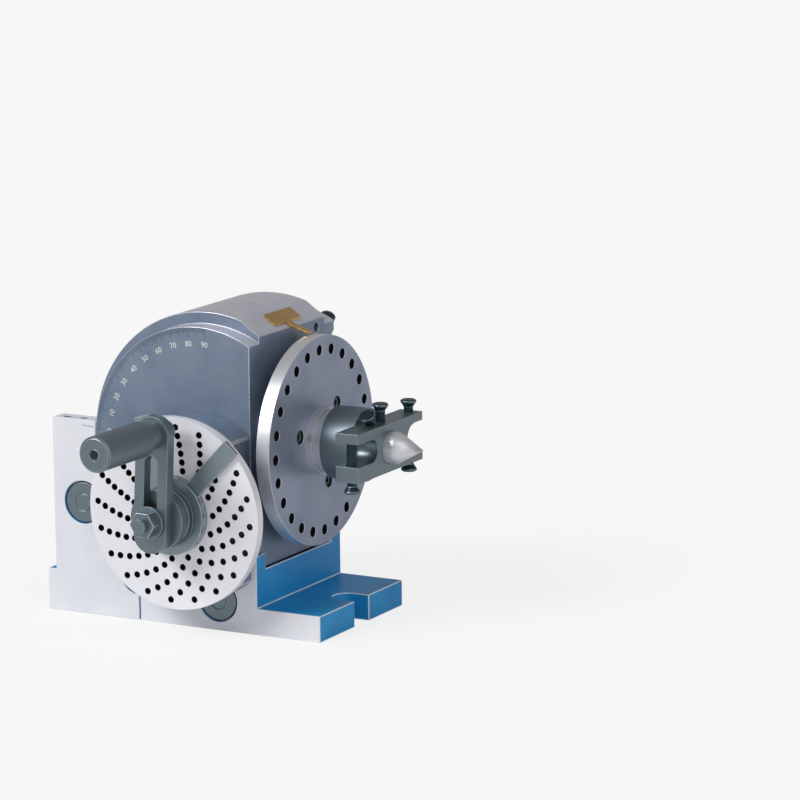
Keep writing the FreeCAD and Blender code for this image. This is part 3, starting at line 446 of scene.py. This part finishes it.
@dataclass
class DrumHead:
    """The swivelling housing with its covers, bushes and worm housing."""

    drum_side: float = 35.5 * MM
    drum_radius: float = 72.5 * MM
    shelf_radius: float = 64 * MM
    flange_radius: float = 51 * MM
    flange_flat: float = 32.2 * MM
    flange_back: float = -46.75 * MM
    flange_front: float = -65.7 * MM
    flange_edge: float = 1.2 * MM
    flange_points: int = 97

    def flange(self) -> bpy.types.Object:
        """The round flange behind the index plate, cut flat beside the spindle's nose.

        Its outline is an arc about the worm's axis, from the flat's upper end round to its lower.

        Returns:
            The flange as one closed solid with a rounded edge, painted pale as a highlight.
        """
        start = math.acos(self.flange_flat / self.flange_radius)
        turn = np.linspace(start, 2 * math.pi - start, self.flange_points)
        ring = np.stack([self.flange_radius * np.cos(turn), np.zeros_like(turn),
                         WORM_HEIGHT + self.flange_radius * np.sin(turn)], axis=-1)
        count = len(ring)
        points = np.concatenate([ring + (0, self.flange_back, 0), ring + (0, self.flange_front, 0)])
        mesh = bpy.data.meshes.new("index_flange")
        steps = np.arange(count)
        following = np.roll(steps, -1)
        sides = np.stack([steps, following, following + count, steps + count], axis=-1)
        ends = [steps.tolist(), (steps[::-1] + count).tolist()]
        mesh.from_pydata(points.tolist(), [], sides.tolist() + ends)
        shape = bmesh.new()
        shape.from_mesh(mesh)
        bmesh.ops.recalc_face_normals(shape, faces=shape.faces)
        shape.to_mesh(mesh)
        shape.free()
        mesh.materials.append(HOUSING_IRON.material())
        mesh.materials.append(RIM_HIGHLIGHT_IRON.material())
        mesh.shade_smooth()
        flange = object_of("index_flange", mesh)
        bevel = flange.modifiers.new("rounded_edge", "BEVEL")
        bevel.width = self.flange_edge
        bevel.segments = 3
        bevel.limit_method = "ANGLE"
        bevel.angle_limit = math.radians(EDGE_ANGLE)
        # The rounded edge takes the pale rim finish, a painted highlight.
        bevel.material = 1
        flange.modifiers.new("evened_normals", "WEIGHTED_NORMAL")
        return flange

    def build(self) -> None:
        """Makes the housing, with a painted highlight on the drum's rim and shelves, and what is
        fixed to it.
        """
        dress(self.flange(), "head", "machined_housing")
        housing = softened("head_housing", "drum_housing", [HOUSING_IRON, RIM_HIGHLIGHT_IRON, EDGE_HIGHLIGHT],
                           Softening(0.4 * MM))
        centres, normals = face_table(housing.data)
        radius = np.hypot(centres[:, 0], centres[:, 2] - SPINDLE_HEIGHT)
        round_side = np.abs(normals[:, 1]) < SIDEWAYS
        rim = round_side & (radius > self.drum_radius - 2 * MM)
        shelf = round_side & (radius > self.shelf_radius) & (np.abs(centres[:, 1]) > self.drum_side)
        # The rim and the shelves get the pale rim finish, a painted highlight.
        paint_faces(housing, np.where(rim | shelf, 1, 0))
        dress(housing, "head", "machined_housing", "head_housing")
        dress_nodes(
            0.2 * MM,
            ("rear_cover", "rear_cover_plate", [HOUSING_IRON, EDGE_HIGHLIGHT], "head", "machined_housing"),
            ("rear_cover_screws", "rear_cover_cap_screws", [BLACK_STEEL], "head", "blackened_steel"),
            ("spindle_front_bush", "front_bush", [BRONZE], "head", "bearing_bronze"),
            ("spindle_rear_bush", "rear_bush", [BRONZE], "head", "bearing_bronze"),
            ("worm_housing", "worm_sleeve", [HOUSING_IRON, SECTOR_STEEL], "head", "machined_housing"),
            ("worm_housing_screws", "sleeve_cap_screws", [BLACK_STEEL], "head", "blackened_steel"),
            ("worm_front_bush", "worm_bush_front", [BRONZE], "head", "bearing_bronze"),
            ("worm_rear_bush", "worm_bush_rear", [BRONZE], "head", "bearing_bronze"),
            ("rim_pointer", "brass_rim_pointer", [POINTER_BRASS], "head", "brass_pointer"))


@dataclass
class IndexPlate:
    """The drilled index plate with its sector arms and their rings."""

    radius: float = 52.5 * MM

    def build(self) -> None:
        """Makes the plate with painted shade on its drilled holes' walls, and the parts on its
        spigot.
        """
        plate = softened("index_plate", "drilled_plate", [INDEX_STEEL, BORE_SHADE, INDEX_STEEL],
                         Softening(0.15 * MM, 1))
        centres, normals = face_table(plate.data)
        radius = np.hypot(centres[:, 0], centres[:, 2] - WORM_HEIGHT)
        bore = (np.abs(normals[:, 1]) < SIDEWAYS) & (radius < self.radius - MM)
        # The holes' walls get the near-black finish: painted shade inside them.
        paint_faces(plate, np.where(bore, 1, 0))
        dress(plate, "head", "index_plate_steel", "index_plate")
        dress_nodes(
            0.2 * MM,
            ("index_plate_screws", "plate_sunk_screws", [BLACK_STEEL], "head", "blackened_steel"),
            ("sector_arm_trailing", "trailing_sector", [SECTOR_STEEL, EDGE_HIGHLIGHT],
             "sector_trailing", "sector_steel"),
            ("sector_arm_leading", "leading_sector", [SECTOR_STEEL, EDGE_HIGHLIGHT],
             "sector_leading", "sector_steel"),
            ("sector_spring", "sector_friction_spring", [DARK_STEEL, SECTOR_STEEL],
             "head", "dark_steel"),
            ("sector_retaining_ring", "sector_ring", [DARK_STEEL, EDGE_HIGHLIGHT], "head", "bright_steel"))


@dataclass
class Crank:
    """The index crank: worm shaft, slotted arm, nut, pin and handle."""

    def build(self) -> None:
        """Makes each piece of the crank."""
        dress_nodes(
            0.25 * MM,
            ("worm_shaft", "worm_and_shaft", [DARK_STEEL, SECTOR_STEEL], "crank", "worm_steel"),
            ("crank_washer", "arm_washer", [DARK_STEEL, SECTOR_STEEL], "crank", "blackened_steel"),
            ("crank_nut", "arm_nut", [DARK_STEEL, EDGE_HIGHLIGHT], "crank", "blackened_steel"),
            ("crank_arm", "slotted_arm", [DARK_STEEL, SECTOR_STEEL], "crank_arm", "dark_steel"),
            ("pin_sleeve", "pin_guide_sleeve", [DARK_STEEL, SECTOR_STEEL], "crank_arm", "dark_steel"),
            ("index_pin", "indexing_pin", [BRIGHT_STEEL], "index_pin", "bright_steel"),
            ("crank_handle", "crank_grip", [DARK_STEEL, SECTOR_STEEL], "index_pin", "dark_steel"),
            ("handle_screw", "grip_screw", [BLACK_STEEL, EDGE_HIGHLIGHT], "index_pin", "blackened_steel"))


@dataclass
class Spindle:
    """The spindle with its wheel, direct plate, driver and centre."""

    plate_radius: float = 57.5 * MM

    def build(self) -> None:
        """Makes the direct plate with painted shade in its holes and a painted highlight on its rim,
        and each piece on the spindle.
        """
        plate = softened("direct_index_plate", "direct_plate",
                         [DIRECT_STEEL, BORE_SHADE, BRIGHT_STEEL, EDGE_HIGHLIGHT],
                         Softening(0.3 * MM))
        centres, normals = face_table(plate.data)
        radius = np.hypot(centres[:, 1], centres[:, 2] - SPINDLE_HEIGHT)
        side = np.abs(normals[:, 0]) < SIDEWAYS
        rim = side & (radius > self.plate_radius - MM)
        # The holes' walls get the near-black finish, painted shade; the rim gets bright steel, a
        # painted highlight.
        paint_faces(plate, np.select([rim, side], [2, 1], 0))
        dress(plate, "spindle", "direct_plate_steel", "direct_index_plate")
        dress_nodes(
            0.2 * MM,
            ("spindle", "hollow_spindle", [BRIGHT_STEEL], "spindle", "bright_steel"),
            ("worm_wheel", "bronze_worm_wheel", [BRONZE], "spindle", "bearing_bronze"),
            ("wheel_nut", "wheel_lock_nut", [BLACK_STEEL], "spindle", "blackened_steel"),
            ("spindle_locknut", "rear_lock_nut", [BLACK_STEEL, SECTOR_STEEL],
             "spindle", "blackened_steel"),
            ("direct_plate_screws", "direct_plate_cap_screws", [BLACK_STEEL, SECTOR_STEEL],
             "spindle", "blackened_steel"),
            ("dog_driver", "forked_driver", [DARK_STEEL, SECTOR_STEEL], "spindle", "dark_steel"),
            ("driver_tail_screws", "tail_clamp_screws", [BLACK_STEEL, SECTOR_STEEL],
             "spindle", "blackened_steel"),
            ("centre_clamp_screws", "centre_set_screws", [BLACK_STEEL, SECTOR_STEEL],
             "spindle", "blackened_steel"),
            ("centre", "taper_centre", [BRIGHT_STEEL], "spindle", "bright_steel"))


@dataclass
class DirectPlunger:
    """The spring pin behind the direct plate, and its knob."""

    def build(self) -> None:
        """Makes the pin and the knob."""
        pin = softened("direct_plunger", "direct_index_pin", [BRIGHT_STEEL])
        dress(pin, "direct_plunger", "bright_steel", "direct_plunger")
        knob = softened("plunger_knob", "direct_pin_knob", [BLACK_STEEL, SECTOR_STEEL])
        dress(knob, "direct_plunger", "blackened_steel", "plunger_knob")


# ---------------------------------------------------------------- studio

@dataclass(frozen=True)
class Lamp:
    """One sun: the way towards it, its strength and how wide it looks, in degrees."""

    name: str
    toward: tuple[float, float, float]
    strength: float
    spread: float


LAMPS = (Lamp("key", (-0.42, -0.70, 0.62), 1.7, 24), Lamp("fill", (0.8, -0.5, 0.5), 0.5, 60))


@dataclass
class Studio:
    """A pale floor, soft light from the upper left and a camera with a long lens."""

    camera_place: tuple[float, float, float] = (1.0828, -1.8133, 0.5322)
    azimuth: float = 28.50
    elevation: float = 11.127
    roll: float = -0.544
    lens: float = 176.8
    floor_size: float = 30.0
    sky: float = 0.33
    floor_glow: float = 0.8

    def build(self) -> None:
        """Makes the floor, the light and the camera."""
        self.floor()
        self.light()
        self.camera()
        bpy.context.scene.view_settings.view_transform = "Standard"

    def floor(self) -> None:
        """A matt pale floor that glows to the camera alone, so it is near white under its shadow."""
        half = self.floor_size / 2
        corners = np.array([[-half, -half, 0], [half, -half, 0], [half, half, 0],
                            [-half, half, 0]])
        mesh = bpy.data.meshes.new("floor")
        mesh.from_pydata(corners.tolist(), [], [[0, 1, 2, 3]])
        material = bpy.data.materials.new("floor_paper")
        material.use_nodes = True
        tree = material.node_tree
        shader = tree.nodes["Principled BSDF"]
        shader.inputs["Base Color"].default_value = (0.9, 0.9, 0.9, 1)
        shader.inputs["Roughness"].default_value = 0.9
        glow = tree.nodes.new("ShaderNodeEmission")
        path = tree.nodes.new("ShaderNodeLightPath")
        share = tree.nodes.new("ShaderNodeMath")
        share.operation = "MULTIPLY"
        share.inputs[1].default_value = self.floor_glow
        tree.links.new(path.outputs["Is Camera Ray"], share.inputs[0])
        mix = tree.nodes.new("ShaderNodeMixShader")
        tree.links.new(share.outputs[0], mix.inputs[0])
        tree.links.new(shader.outputs[0], mix.inputs[1])
        tree.links.new(glow.outputs[0], mix.inputs[2])
        tree.links.new(mix.outputs[0], tree.nodes["Material Output"].inputs["Surface"])
        mesh.materials.append(material)
        floor = object_of("floor", mesh)

    def light(self) -> None:
        """An even sky, white to the camera, a broad sun from the front left and a weak one."""
        world = bpy.data.worlds.new("studio")
        bpy.context.scene.world = world
        world.use_nodes = True
        background = world.node_tree.nodes["Background"]
        background.inputs["Color"].default_value = (1, 1, 1, 1)
        path = world.node_tree.nodes.new("ShaderNodeLightPath")
        strength = world.node_tree.nodes.new("ShaderNodeMapRange")
        strength.inputs["To Min"].default_value = self.sky
        world.node_tree.links.new(path.outputs["Is Camera Ray"], strength.inputs["Value"])
        world.node_tree.links.new(strength.outputs["Result"], background.inputs["Strength"])
        for lamp in LAMPS:
            light = bpy.data.lights.new(lamp.name, "SUN")
            light.energy = lamp.strength
            light.angle = math.radians(lamp.spread)
            sun = bpy.data.objects.new(lamp.name, light)
            sun.rotation_euler = Vector(lamp.toward).to_track_quat("Z", "Y").to_euler()
            bpy.context.scene.collection.objects.link(sun)

    def camera(self) -> None:
        """The camera: its right is (cos, sin, 0) of the azimuth, rolled about its view."""
        azimuth, elevation, roll = map(math.radians, (self.azimuth, self.elevation, self.roll))
        forward = Vector((-math.sin(azimuth) * math.cos(elevation),
                          math.cos(azimuth) * math.cos(elevation), -math.sin(elevation)))
        level = Vector((math.cos(azimuth), math.sin(azimuth), 0))
        above = level.cross(forward)
        right = level * math.cos(roll) + above * math.sin(roll)
        up = right.cross(forward)
        lens = bpy.data.cameras.new("camera")
        lens.lens = self.lens
        lens.sensor_width = 36
        lens.clip_end = 100
        camera = bpy.data.objects.new("camera", lens)
        turn = Matrix((right, up, -forward)).transposed().to_4x4()
        camera.matrix_world = Matrix.Translation(self.camera_place) @ turn
        bpy.context.scene.collection.objects.link(camera)
        bpy.context.scene.camera = camera


def main() -> None:
    """Builds every sub-assembly in order, then the studio."""
    logging.basicConfig(level=logging.INFO, format="%(message)s")
    for assembly in (Cradle(), DrumHead(), SwivelScale(), IndexPlate(), Crank(), Spindle(),
                     DirectPlunger(), Studio()):
        assembly.build()
        log.info("%s built", type(assembly).__name__)


if __name__ == "__main__":
    main()
